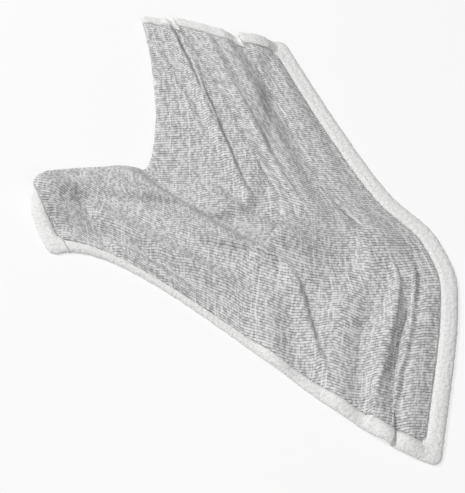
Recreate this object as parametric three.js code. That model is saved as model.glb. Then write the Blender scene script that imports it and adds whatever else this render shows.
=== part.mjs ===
// Sherpa throw laid out on a floor: a narrow pleated head that fans out to a wide hem.
// Two cloths, sewn at the border: a woven face panel, and a sherpa backing turned over its edge.
// Millimetres, +Z up, floor at z = 0. The hem faces -Y and the pleated head +Y.
import * as THREE from "three";

// Flat sizes of the cloth
const WIDTH = 1270;
const LENGTH = 1524;
const BORDER = 52;
const BORDER_TOP = 5.4;

// Heights from the cloth's middle surface
const UNDERSIDE = -4;
const PILE_TOP = 1.3;
const FACE_UNDER = 2.3;
const FACE_TOP = 4;
const FACE_RIM = 2.6;

// Folds
const FOLD_RADIUS = 6.5;
const TURN = Math.PI * FOLD_RADIUS;
const REST = -UNDERSIDE;

// Rounded border section: distance in from the cloth's edge, top and bottom of the backing there.
const BORDER_STEPS = [
  { inset: 0, top: 1.4, bottom: -1.4 },
  { inset: 4, top: 4.4, bottom: -3.4 },
  { inset: 14, top: BORDER_TOP, bottom: UNDERSIDE },
  { inset: 40, top: 5.2, bottom: UNDERSIDE },
  { inset: 47, top: 4, bottom: UNDERSIDE },
  { inset: BORDER, top: PILE_TOP, bottom: UNDERSIDE },
];

// Where the cloth lies, a row for each line across it. along: distance from the hem;
// rightX, rightY: the right edge; leftX, leftY: the left outline, edge or fold;
// startReach, endReach: how strongly the line holds its direction at its ends, as shares of its
// chord, and lean: how far its left end turns from square to the outline towards the chord;
// tuck: cloth turned under at the left, and tuckTurn its angle in degrees;
// inner, outer: distance of the two pleat noses from the right edge;
// innerTurn, outerTurn: how far each is folded over, and innerDepth, outerDepth how deep.
const LAY = [
  { along: 0, rightX: 518, rightY: -700, leftX: -545, leftY: -74,
    startReach: 0.62, endReach: 0.56, lean: 0, tuck: 54, tuckTurn: 0,
    outer: 300, outerTurn: 0, outerDepth: 8, inner: 650, innerTurn: 0, innerDepth: 8 },
  { along: 90, rightX: 535, rightY: -612, leftX: -590, leftY: 4,
    startReach: 0.62, endReach: 0.51, lean: 0.15, tuck: 54, tuckTurn: 0,
    outer: 298, outerTurn: 0, outerDepth: 8, inner: 645, innerTurn: 0, innerDepth: 8 },
  { along: 170, rightX: 550, rightY: -533, leftX: -612, leftY: 82,
    startReach: 0.61, endReach: 0.5, lean: 0.25, tuck: 54, tuckTurn: 35,
    outer: 294, outerTurn: 0, outerDepth: 8, inner: 635, innerTurn: 0, innerDepth: 8 },
  { along: 240, rightX: 563, rightY: -464, leftX: -597, leftY: 152,
    startReach: 0.62, endReach: 0.42, lean: 0.55, tuck: 54, tuckTurn: 110,
    outer: 288, outerTurn: 0, outerDepth: 8, inner: 625, innerTurn: 0, innerDepth: 8 },
  { along: 320, rightX: 577, rightY: -385, leftX: -533, leftY: 206,
    startReach: 0.64, endReach: 0.35, lean: 0.7, tuck: 70, tuckTurn: 180,
    outer: 280, outerTurn: 0, outerDepth: 8, inner: 610, innerTurn: 0, innerDepth: 8 },
  { along: 420, rightX: 592, rightY: -286, leftX: -408, leftY: 214,
    startReach: 0.67, endReach: 0.31, lean: 0.6, tuck: 150, tuckTurn: 180,
    outer: 268, outerTurn: 0, outerDepth: 8, inner: 580, innerTurn: 45, innerDepth: 8 },
  { along: 540, rightX: 600, rightY: -167, leftX: -298, leftY: 204,
    startReach: 0.69, endReach: 0.33, lean: 0.3, tuck: 235, tuckTurn: 180,
    outer: 250, outerTurn: 30, outerDepth: 12, inner: 530, innerTurn: 120, innerDepth: 16 },
  { along: 700, rightX: 553, rightY: -16, leftX: -265, leftY: 268,
    startReach: 0.7, endReach: 0.35, lean: 0, tuck: 290, tuckTurn: 180,
    outer: 222, outerTurn: 110, outerDepth: 20, inner: 465, innerTurn: 180, innerDepth: 54 },
  { along: 900, rightX: 422, rightY: 134, leftX: -258, leftY: 392,
    startReach: 0.7, endReach: 0.35, lean: 0, tuck: 300, tuckTurn: 180,
    outer: 192, outerTurn: 180, outerDepth: 36, inner: 405, innerTurn: 180, innerDepth: 92 },
  { along: 1200, rightX: 270, rightY: 393, leftX: -274, leftY: 575,
    startReach: 0.7, endReach: 0.35, lean: 0, tuck: 320, tuckTurn: 180,
    outer: 155, outerTurn: 180, outerDepth: 42, inner: 365, innerTurn: 180, innerDepth: 112 },
  { along: LENGTH, rightX: 122, rightY: 681, leftX: -312, leftY: 757,
    startReach: 0.7, endReach: 0.35, lean: 0, tuck: 335, tuckTurn: 180,
    outer: 133, outerTurn: 180, outerDepth: 48, inner: 340, innerTurn: 180, innerDepth: 128 },
];

// Soft ridges. Each runs between two points of the cloth, given as distance from the hem (along)
// and share of the way across it (across), with its crest height, half the width of its foot, and
// how softly the foot runs out: 1 sharply, 2 softly.
const RIDGES = [
  { fromAlong: -60, fromAcross: 0.075, toAlong: 600, toAcross: 0.09, height: 16, half: 50, foot: 1.5 },
  { fromAlong: -60, fromAcross: 0.14, toAlong: 620, toAcross: 0.17, height: 27, half: 40, foot: 1.5 },
  { fromAlong: -60, fromAcross: 0.235, toAlong: 560, toAcross: 0.27, height: 16, half: 66, foot: 1.5 },
  { fromAlong: -60, fromAcross: 0.41, toAlong: 430, toAcross: 0.42, height: 16, half: 84, foot: 2 },
  { fromAlong: 130, fromAcross: 0.84, toAlong: 85, toAcross: 0.56, height: 18, half: 52, foot: 2 },
  { fromAlong: 490, fromAcross: 1.05, toAlong: 390, toAcross: 0.44, height: 36, half: 84, foot: 2 },
  { fromAlong: 620, fromAcross: 0.86, toAlong: 520, toAcross: 0.36, height: 18, half: 64, foot: 2 },
  { fromAlong: 250, fromAcross: 0.95, toAlong: 250, toAcross: 0.4, height: 26, half: 62, foot: 2 },
  { fromAlong: 1620, fromAcross: 0.86, toAlong: 620, toAcross: 0.66, height: 16, half: 49, foot: 2 },
  { fromAlong: 1560, fromAcross: 0.6, toAlong: 640, toAcross: 0.42, height: 14, half: 42, foot: 2 },
];

const COUNTS = { edge: 9, turn: 4, short: 2, inside: 6, tuck: 3 };
const BODY_ROWS = [
  95, 180, 210, 240, 275, 320, 370, 430, 490, 560, 660, 800, 960, 1130, 1300,
];

const clamp = (value, low, high) => Math.min(high, Math.max(low, value));
const mix = (a, b, share) => a + (b - a) * share;
const LEVEL = 1e-5;
const radians = (degrees) => Math.max(LEVEL, (degrees * Math.PI) / 180);

function smooth(value) {
  const share = clamp(value, 0, 1);
  return share * share * (3 - 2 * share);
}

// One column of the lay table at any distance from the hem, without overshoot.
function laid(name, along) {
  const last = LAY.length - 1;
  const place = clamp(along, 0, LENGTH);
  let row = 0;
  while (row < last - 1 && LAY[row + 1].along < place) row += 1;
  const slope = (k) => (LAY[k + 1][name] - LAY[k][name]) / (LAY[k + 1].along - LAY[k].along);
  const tangent = (k) => {
    if (k === 0) return slope(0);
    if (k === last) return slope(last - 1);
    const before = slope(k - 1);
    const after = slope(k);
    return before * after <= 0 ? 0 : (2 * before * after) / (before + after);
  };
  const span = LAY[row + 1].along - LAY[row].along;
  const share = (place - LAY[row].along) / span;
  const square = share * share;
  const cube = square * share;
  return (
    (2 * cube - 3 * square + 1) * LAY[row][name] +
    (cube - 2 * square + share) * span * tangent(row) +
    (3 * square - 2 * cube) * LAY[row + 1][name] +
    (cube - square) * span * tangent(row + 1)
  );
}

// The direction of an outline in plan, going up the cloth.
function heading(side, along) {
  const step = 12;
  const low = clamp(along - step, 0, LENGTH);
  const high = clamp(along + step, 0, LENGTH);
  const dx = laid(`${side}X`, high) - laid(`${side}X`, low);
  const dy = laid(`${side}Y`, high) - laid(`${side}Y`, low);
  const size = Math.hypot(dx, dy);
  return { x: dx / size, y: dy / size };
}

// A line across the cloth in plan, from the right edge, square to it, to the left outline.
class Crossing {
  constructor(along) {
    this.start = { x: laid("rightX", along), y: laid("rightY", along) };
    this.end = { x: laid("leftX", along), y: laid("leftY", along) };
    const right = heading("right", along);
    const left = heading("left", along);
    const chord = Math.hypot(this.end.x - this.start.x, this.end.y - this.start.y);
    const out = chord * laid("startReach", along);
    this.out = { x: -right.y * out, y: right.x * out };
    const lean = laid("lean", along);
    const intoX = mix(-left.y, (this.end.x - this.start.x) / chord, lean);
    const intoY = mix(left.x, (this.end.y - this.start.y) / chord, lean);
    const into = (chord * laid("endReach", along)) / Math.hypot(intoX, intoY);
    this.into = { x: intoX * into, y: intoY * into };
    this.marks = [0];
    this.steps = 120;
    let before = this.hermite(0);
    for (let k = 1; k <= this.steps; k += 1) {
      const here = this.hermite(k / this.steps);
      this.marks.push(this.marks[k - 1] + Math.hypot(here.x - before.x, here.y - before.y));
      before = here;
    }
    this.length = this.marks[this.steps];
  }

  hermite(q) {
    const square = q * q;
    const cube = square * q;
    const blend = (axis) =>
      (2 * cube - 3 * square + 1) * this.start[axis] +
      (cube - 2 * square + q) * this.out[axis] +
      (3 * square - 2 * cube) * this.end[axis] +
      (cube - square) * this.into[axis];
    return { x: blend("x"), y: blend("y") };
  }

  // The plan point at a distance from the right edge, on straight ends beyond the line.
  at(distance) {
    if (distance <= 0) return this.beyond(this.start, this.out, distance);
    if (distance >= this.length) return this.beyond(this.end, this.into, distance - this.length);
    let low = 0;
    let high = this.steps;
    while (high - low > 1) {
      const middle = (low + high) >> 1;
      if (this.marks[middle] <= distance) low = middle;
      else high = middle;
    }
    const share = (distance - this.marks[low]) / (this.marks[high] - this.marks[low]);
    return this.hermite((low + share) / this.steps);
  }

  beyond(point, direction, distance) {
    const size = Math.hypot(direction.x, direction.y);
    return {
      x: point.x + (direction.x / size) * distance,
      y: point.y + (direction.y / size) * distance,
    };
  }
}

// Height of the soft ridges above the cloth's rest, at a share of the way across.
function ridgeHeight(across, along) {
  let height = 0;
  for (const ridge of RIDGES) {
    const runAlong = ridge.toAlong - ridge.fromAlong;
    const runAcross = (ridge.toAcross - ridge.fromAcross) * WIDTH;
    const size = Math.hypot(runAlong, runAcross);
    const offAlong = along - ridge.fromAlong;
    const offAcross = (across - ridge.fromAcross) * WIDTH;
    const progress = (offAlong * runAlong + offAcross * runAcross) / (size * size);
    const off = (offAcross * runAlong - offAlong * runAcross) / size;
    const ends = smooth(progress / 0.2) * smooth((1 - progress) / 0.35);
    const inside = Math.max(0, 1 - (off / ridge.half) ** 2);
    height += ridge.height * ends * inside ** ridge.foot;
  }
  return height;
}

// The fall and the reach of a turn, its run and the turn back.
function turned(angle, run) {
  const radius = TURN / angle;
  return {
    fall: 2 * radius * (1 - Math.cos(angle)) + run * Math.sin(angle),
    reach: 2 * radius * Math.sin(angle) + run * Math.cos(angle),
  };
}

// The section of the cloth's middle surface over one crossing: distance and height at each column.
function section(along, crossing) {
  const tuck = laid("tuck", along);
  const tuckAngle = radians(laid("tuckTurn", along));
  const outerAngle = radians(laid("outerTurn", along));
  const innerAngle = radians(laid("innerTurn", along));
  const outerDepth = laid("outerDepth", along);
  const innerDepth = laid("innerDepth", along);
  const outerNose = laid("outer", along);
  const innerNose = laid("inner", along);
  const radius = TURN / tuckAngle;
  const reach = tuckAngle < Math.PI / 2
    ? radius * Math.sin(tuckAngle) + tuck * Math.cos(tuckAngle)
    : radius;
  const foldStart = crossing.length - reach;
  const turnedUnder = smooth(tuckAngle / (Math.PI / 2) - 1);
  const lift =
    radius * (1 - Math.cos(tuckAngle)) +
    tuck * Math.sin(tuckAngle) +
    (BORDER_TOP - REST) * turnedUnder;
  const outerTurned = turned(outerAngle, outerDepth);
  const innerTurned = turned(innerAngle, innerDepth);
  const outerEnd = outerNose + outerTurned.reach;
  const innerEnd = innerNose + innerTurned.reach;
  const under = Math.max(0, -Math.cos(tuckAngle)) * tuck;
  const rampEnd = foldStart - under - 10;
  const ramp = mix(190, 60, under / Math.max(under, tuck));
  const support = (distance) =>
    REST +
    lift * smooth((distance - rampEnd + ramp) / ramp) +
    ridgeHeight(distance / crossing.length, along);
  const climb = (distance, from, to) => smooth((distance - from) / (to - from));

  const points = [];
  const add = (distance, height) => points.push({ distance, height });
  const run = (from, to, count, height) => {
    for (let k = 1; k <= count; k += 1) {
      const distance = mix(from, to, k / count);
      add(distance, height(distance));
    }
  };
  // A turn down through an angle, a run at that angle and a turn back to level, with the fall
  // measured from what the cloth lies on.
  const pleat = (angle, depth, fall) => {
    const bend = TURN / angle;
    const nose = points[points.length - 1].distance;
    const fold = (distance, height) => add(distance, support(distance) + height);
    for (let k = 1; k <= COUNTS.turn; k += 1) {
      const part = (angle * k) / COUNTS.turn;
      fold(nose + bend * Math.sin(part), fall - bend * (1 - Math.cos(part)));
    }
    const turn = nose + bend * Math.sin(angle);
    const turnFall = fall - bend * (1 - Math.cos(angle));
    for (let k = 1; k <= COUNTS.short; k += 1) {
      const part = (depth * k) / COUNTS.short;
      fold(turn + part * Math.cos(angle), turnFall - part * Math.sin(angle));
    }
    const inner = turn + depth * Math.cos(angle);
    const level = turnFall - depth * Math.sin(angle);
    for (let k = 1; k <= COUNTS.turn; k += 1) {
      const part = angle - (angle * k) / COUNTS.turn;
      const side = bend * (Math.sin(angle) - Math.sin(part));
      fold(inner + side, level - bend * (Math.cos(part) - Math.cos(angle)));
    }
  };

  const beforeOuter = (distance) =>
    support(distance) + outerTurned.fall * climb(distance, 24, outerEnd - 12);
  const beforeInner = (distance) =>
    support(distance) +
    innerTurned.fall * climb(distance, outerNose + 14, innerEnd - 12);
  for (const step of BORDER_STEPS) add(step.inset, beforeOuter(step.inset));
  run(BORDER, outerNose, COUNTS.edge, beforeOuter);
  pleat(outerAngle, outerDepth, outerTurned.fall);
  const clear = Math.max(outerEnd + 5, outerNose + 14);
  const foot = Math.max(clear + 10, Math.min(innerEnd - 12, innerNose - 10));
  run(outerEnd, clear, COUNTS.short, beforeInner);
  run(clear, foot, COUNTS.short, beforeInner);
  run(foot, innerNose, COUNTS.short, beforeInner);
  pleat(innerAngle, innerDepth, innerTurned.fall);
  const open = Math.max(innerEnd + 5, innerNose + 6);
  run(innerEnd, open, COUNTS.short, support);
  run(open, foldStart, COUNTS.inside, support);
  const top = points[points.length - 1];
  for (let k = 1; k <= COUNTS.turn; k += 1) {
    const part = (tuckAngle * k) / COUNTS.turn;
    add(top.distance + radius * Math.sin(part), top.height - radius * (1 - Math.cos(part)));
  }
  const low = points[points.length - 1];
  const straight = (length) =>
    add(low.distance + length * Math.cos(tuckAngle), low.height - length * Math.sin(tuckAngle));
  for (let k = 1; k < COUNTS.tuck; k += 1) straight(((tuck - BORDER) * k) / COUNTS.tuck);
  for (const step of [...BORDER_STEPS].reverse()) straight(tuck - step.inset);
  return points;
}

// The upward direction of each point of a section, square to its neighbours.
function uprights(points) {
  return points.map((point, k) => {
    const before = points[Math.max(0, k - 1)];
    const after = points[Math.min(points.length - 1, k + 1)];
    const run = after.distance - before.distance;
    const rise = after.height - before.height;
    const size = Math.hypot(run, rise);
    return { side: -rise / size, up: run / size };
  });
}

// Insets of the columns and rows from the nearest edge, for the thickness of the border.
const borderCount = BORDER_STEPS.length;
const rows = [
  ...BORDER_STEPS.map((step) => step.inset),
  ...BODY_ROWS,
  ...[...BORDER_STEPS].reverse().map((step) => LENGTH - step.inset),
];

const lines = rows.map((along) => {
  const crossing = new Crossing(along);
  const points = section(along, crossing);
  return { along, crossing, points, normals: uprights(points) };
});
const columns = lines[0].points.length;

// How many border steps in from the nearest edge a grid point is.
function stepIn(row, column) {
  return Math.min(row, column, rows.length - 1 - row, columns - 1 - column, borderCount - 1);
}

function place(row, column, offset) {
  const line = lines[row];
  const point = line.points[column];
  const normal = line.normals[column];
  const plan = line.crossing.at(point.distance + offset * normal.side);
  return [plan.x, plan.y, point.height + offset * normal.up];
}

// A closed sheet over a block of the grid, between a top and a bottom surface.
function sheet(name, firstRow, lastRow, firstColumn, lastColumn, topOf, bottomOf, material) {
  const across = lastColumn - firstColumn + 1;
  const up = lastRow - firstRow + 1;
  const positions = [];
  for (const offsetOf of [topOf, bottomOf])
    for (let row = firstRow; row <= lastRow; row += 1)
      for (let column = firstColumn; column <= lastColumn; column += 1)
        positions.push(...place(row, column, offsetOf(row, column)));
  const top = (r, c) => r * across + c;
  const bottom = (r, c) => across * up + r * across + c;
  const index = [];
  const quad = (a, b, c, d) => index.push(a, b, c, a, c, d);
  for (let r = 0; r < up - 1; r += 1)
    for (let c = 0; c < across - 1; c += 1) {
      quad(top(r, c), top(r + 1, c), top(r + 1, c + 1), top(r, c + 1));
      index.push(bottom(r, c), bottom(r + 1, c + 1), bottom(r + 1, c));
      index.push(bottom(r, c), bottom(r, c + 1), bottom(r + 1, c + 1));
    }
  for (let r = 0; r < up - 1; r += 1) {
    quad(bottom(r, 0), bottom(r + 1, 0), top(r + 1, 0), top(r, 0));
    quad(top(r, across - 1), top(r + 1, across - 1), bottom(r + 1, across - 1), bottom(r, across - 1));
  }
  for (let c = 0; c < across - 1; c += 1) {
    quad(top(0, c), top(0, c + 1), bottom(0, c + 1), bottom(0, c));
    quad(bottom(up - 1, c), bottom(up - 1, c + 1), top(up - 1, c + 1), top(up - 1, c));
  }
  const geometry = new THREE.BufferGeometry();
  geometry.setAttribute("position", new THREE.Float32BufferAttribute(positions, 3));
  geometry.setIndex(index);
  geometry.computeVertexNormals();
  const mesh = new THREE.Mesh(geometry, material);
  mesh.name = name;
  return mesh;
}

const sherpa = new THREE.MeshStandardMaterial({ color: 0xf1f0ee, roughness: 0.95, metalness: 0 });
const woven = new THREE.MeshStandardMaterial({ color: 0xc4c4c4, roughness: 0.9, metalness: 0 });

const inner = borderCount - 1;
const backing = sheet(
  "sherpa_backing", 0, rows.length - 1, 0, columns - 1,
  (row, column) => BORDER_STEPS[stepIn(row, column)].top,
  (row, column) => BORDER_STEPS[stepIn(row, column)].bottom,
  sherpa,
);
const face = sheet(
  "face_panel", inner, rows.length - 1 - inner, inner, columns - 1 - inner,
  (row, column) => {
    const rim = Math.min(row - inner, column - inner);
    const far = Math.min(rows.length - 1 - inner - row, columns - 1 - inner - column);
    return rim > 0 && far > 0 ? FACE_TOP : FACE_RIM;
  },
  () => FACE_UNDER,
  woven,
);

const group = new THREE.Group();
group.name = "sherpa_blanket";
group.add(backing, face);

// The origin is the middle of the ground it covers.
const middle = new THREE.Box3().setFromObject(group).getCenter(new THREE.Vector3());
group.position.set(-middle.x, -middle.y, 0);

export default group;
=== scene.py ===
"""A sherpa throw laid out on a floor: a woven face, a plump sherpa border and a curly sherpa underside.

Sizes of the cloth are in millimetres, like a maker's pattern, and meshes are written in metres.
The cloth is described by lines across it. Each line is a curve in plan from the right edge to the
left outline, and over it stands a section with two knife pleats and the turned-under left side.
"""
import logging
import math
from dataclasses import dataclass, field
from enum import Enum
from typing import Callable, Iterable

import bpy
import numpy as np
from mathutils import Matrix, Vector


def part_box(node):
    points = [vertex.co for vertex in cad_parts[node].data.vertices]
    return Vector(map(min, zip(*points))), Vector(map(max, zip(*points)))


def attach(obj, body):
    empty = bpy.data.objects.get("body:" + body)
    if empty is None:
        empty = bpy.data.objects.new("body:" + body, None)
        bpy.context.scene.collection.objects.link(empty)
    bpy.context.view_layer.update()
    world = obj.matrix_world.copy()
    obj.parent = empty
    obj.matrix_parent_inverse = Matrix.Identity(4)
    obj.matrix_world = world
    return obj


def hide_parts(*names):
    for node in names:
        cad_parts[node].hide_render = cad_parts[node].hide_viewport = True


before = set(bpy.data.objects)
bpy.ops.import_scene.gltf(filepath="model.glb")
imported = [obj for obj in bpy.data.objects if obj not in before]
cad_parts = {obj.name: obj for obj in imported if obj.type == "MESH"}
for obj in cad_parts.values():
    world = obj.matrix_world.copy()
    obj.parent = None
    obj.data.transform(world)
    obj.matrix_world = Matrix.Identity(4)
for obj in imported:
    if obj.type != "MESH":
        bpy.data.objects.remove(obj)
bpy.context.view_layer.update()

LOG = logging.getLogger("sherpa_throw")
MM = 0.001

# Flat sizes of the cloth, and heights measured from its middle surface
WIDTH = 1270.0
LENGTH = 1524.0
BORDER = 52.0
UNDERSIDE = -4.0
PILE_TOP = 1.3
FACE_UNDER = 2.3
FACE_TOP = 4.0
BORDER_TOP = 5.4
FOLD_RADIUS = 6.5
TURN = math.pi * FOLD_RADIUS
CORNER = 26.0
FLOOR_GAP = 0.2

# Least angle or size, and least length of a normal, so that nothing is divided by nought
LEVEL = 1e-5
TINY = 1e-12

CLOTH_MAP = "cloth_mm"
EASED = {"interpolation_type": "SMOOTHSTEP"}


@dataclass(frozen=True)
class LayRow:
    """One line across the cloth, as it lies. Lengths are in mm and turns in degrees.

    The reaches say how strongly the line holds its direction at its ends, as shares of its chord,
    and lean how far its left end turns from square to the outline towards the chord.
    """

    along: float
    right_x: float
    right_y: float
    left_x: float
    left_y: float
    start_reach: float
    end_reach: float
    lean: float
    tuck: float
    tuck_turn: float
    outer: float
    outer_turn: float
    outer_depth: float
    inner: float
    inner_turn: float
    inner_depth: float


@dataclass(frozen=True)
class Ridge:
    """A ridge between two points of the cloth: distance from the hem, share of the way across.

    Its foot runs out sharply at 1 and softly at 2.
    """

    from_along: float
    from_across: float
    to_along: float
    to_across: float
    height: float
    half: float
    foot: float


LAY = (
    LayRow(0, 518, -700, -545, -74, 0.62, 0.56, 0, 54, 0, 300, 0, 8, 650, 0, 8),
    LayRow(90, 535, -612, -590, 4, 0.62, 0.51, 0.15, 54, 0, 298, 0, 8, 645, 0, 8),
    LayRow(170, 550, -533, -612, 82, 0.61, 0.5, 0.25, 54, 35, 294, 0, 8, 635, 0, 8),
    LayRow(240, 563, -464, -597, 152, 0.62, 0.42, 0.55, 54, 110, 288, 0, 8, 625, 0, 8),
    LayRow(320, 577, -385, -533, 206, 0.64, 0.35, 0.7, 70, 180, 280, 0, 8, 610, 0, 8),
    LayRow(420, 592, -286, -408, 214, 0.67, 0.31, 0.6, 150, 180, 268, 0, 8, 580, 45, 8),
    LayRow(540, 600, -167, -298, 204, 0.69, 0.33, 0.3, 235, 180, 250, 30, 12, 530, 120, 16),
    LayRow(700, 553, -16, -265, 268, 0.7, 0.35, 0, 290, 180, 222, 110, 20, 465, 180, 54),
    LayRow(900, 422, 134, -258, 392, 0.7, 0.35, 0, 300, 180, 192, 180, 36, 405, 180, 92),
    LayRow(1200, 270, 393, -274, 575, 0.7, 0.35, 0, 320, 180, 155, 180, 42, 365, 180, 112),
    LayRow(LENGTH, 122, 681, -312, 757, 0.7, 0.35, 0, 335, 180, 133, 180, 48, 340, 180, 128),
)
RIDGES = (
    Ridge(-60, 0.075, 600, 0.09, 16, 50, 1.5),
    Ridge(-60, 0.14, 620, 0.17, 27, 40, 1.5),
    Ridge(-60, 0.235, 560, 0.27, 16, 66, 1.5),
    Ridge(-60, 0.41, 430, 0.42, 16, 84, 2),
    Ridge(130, 0.84, 85, 0.56, 18, 52, 2),
    Ridge(490, 1.05, 390, 0.44, 36, 84, 2),
    Ridge(620, 0.86, 520, 0.36, 18, 64, 2),
    Ridge(250, 0.95, 250, 0.4, 26, 62, 2),
    Ridge(1620, 0.86, 620, 0.66, 16, 49, 2),
    Ridge(1560, 0.6, 640, 0.42, 14, 42, 2),
)


# Steps from one place of a crease to the next
CREASE_STEPS = 8


@dataclass(frozen=True)
class Crease:
    """A narrow fold through a few places of the cloth, each across and along in mm.

    Going along it, its left side climbs gently to the crest and its right side drops steeply.
    """

    places: tuple[tuple[float, float], ...]
    height: float
    gentle: float
    steep: float
    fade: float

    def at(self, across: np.ndarray, along: np.ndarray) -> np.ndarray:
        """Work out how far the fold raises the cloth.

        Args:
            across: Places across in mm.
            along: Places along in mm.

        Returns:
            Heights in mm.
        """
        across, along = np.broadcast_arrays(across, along)
        line = through(np.array(self.places, float), CREASE_STEPS)
        marks = np.concatenate([[0], np.cumsum(np.linalg.norm(np.diff(line, axis=0), axis=1))])
        nearest = np.full(across.shape, np.inf)
        side = np.zeros(across.shape)
        place = np.zeros(across.shape)
        for start, end, mark in zip(line[:-1], line[1:], marks):
            step = (end - start) / np.linalg.norm(end - start)
            off_across, off_along = across - start[0], along - start[1]
            run = np.clip(off_across * step[0] + off_along * step[1], 0, math.dist(start, end))
            away = np.hypot(off_across - run * step[0], off_along - run * step[1])
            nearer = away < nearest
            nearest[nearer] = away[nearer]
            side[nearer] = (off_across * step[1] - off_along * step[0])[nearer]
            place[nearer] = (mark + run)[nearer]
        ends = smooth(place / self.fade) * smooth((marks[-1] - place) / self.fade)
        reach = np.where(side > 0, self.gentle, self.steep)
        return self.height * ends * smooth(1 - nearest / reach)


CREASES = (
    Crease(((160, -90), (152, 70), (146, 176), (137, 302), (128, 413), (117, 640)), 14, 44, 12, 90),
    Crease(((212, -40), (215, 141), (205, 256), (191, 413), (174, 523), (181, 640)), 8, 30, 9, 110),
    Crease(((365, 60), (415, 183), (462, 283), (487, 340), (519, 393), (560, 440)), 15, 70, 20, 110),
    Crease(((850, 350), (737, 386), (621, 424), (549, 420), (505, 370)), 10, 50, 13, 90),
    Crease(((262, 150), (250, 300), (238, 413), (232, 500)), 3, 30, 11, 120),
    Crease(((392, 160), (380, 413), (372, 540)), 3, 26, 9, 120),
    Crease(((825, 1400), (880, 1110), (888, 910), (850, 765), (705, 585)), 8, 30, 11, 140),
    Crease(((970, 1440), (985, 1100), (965, 800)), 4, 30, 10, 140),
)


def through(places: np.ndarray, steps: int) -> np.ndarray:
    """Draw a smooth line through places.

    Args:
        places: The places, one row each.
        steps: Number of steps from one place to the next.

    Returns:
        Points of the line.
    """
    padded = np.concatenate([2 * places[:1] - places[1:2], places, 2 * places[-1:] - places[-2:-1]])
    share = np.arange(steps)[:, None] / steps
    pieces = [
        0.5 * (
            2 * b + (c - a) * share + (2 * a - 5 * b + 4 * c - d) * share**2
            + (3 * b - a - 3 * c + d) * share**3
        )
        for a, b, c, d in zip(padded, padded[1:], padded[2:], padded[3:])
    ]
    return np.concatenate([*pieces, places[-1:]])


def smooth(value: np.ndarray) -> np.ndarray:
    """Ease from 0 to 1, level at both ends.

    Args:
        value: Where on the way, clamped to 0 and 1.

    Returns:
        The eased share.
    """
    share = np.clip(value, 0.0, 1.0)
    return share * share * (3.0 - 2.0 * share)


def laid(name: str, along: np.ndarray) -> np.ndarray:
    """Read one column of the lay table at any distance from the hem, without overshoot.

    Args:
        name: Field of LayRow.
        along: Distances from the hem in mm.

    Returns:
        The column's values there.
    """
    knots = np.array([row.along for row in LAY])
    values = np.array([getattr(row, name) for row in LAY], float)
    slopes = np.diff(values) / np.diff(knots)
    tangents = np.concatenate([slopes[:1], np.zeros(len(slopes) - 1), slopes[-1:]])
    product = slopes[:-1] * slopes[1:]
    turning = product > 0
    tangents[1:-1][turning] = 2 * product[turning] / (slopes[:-1] + slopes[1:])[turning]
    place = np.clip(along, 0.0, LENGTH)
    row = np.clip(np.searchsorted(knots, place, side="right") - 1, 0, len(slopes) - 1)
    span = np.diff(knots)[row]
    share = (place - knots[row]) / span
    square, cube = share**2, share**3
    return (
        (2 * cube - 3 * square + 1) * values[row]
        + (cube - 2 * square + share) * span * tangents[row]
        + (3 * square - 2 * cube) * values[row + 1]
        + (cube - square) * span * tangents[row + 1]
    )


class Side(Enum):
    """The two outlines that run up the cloth."""

    RIGHT = "right"
    LEFT = "left"


def heading(side: Side, along: np.ndarray) -> np.ndarray:
    """Direction of an outline in plan, going up the cloth.

    Args:
        side: The outline.
        along: Distances from the hem in mm.

    Returns:
        Unit vectors, one row each.
    """
    reach = 12.0
    low = np.clip(along - reach, 0, LENGTH)
    high = np.clip(along + reach, 0, LENGTH)
    step = np.stack(
        [laid(f"{side.value}_{axis}", high) - laid(f"{side.value}_{axis}", low) for axis in "xy"],
        -1,
    )
    return step / np.linalg.norm(step, axis=-1, keepdims=True)


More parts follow.
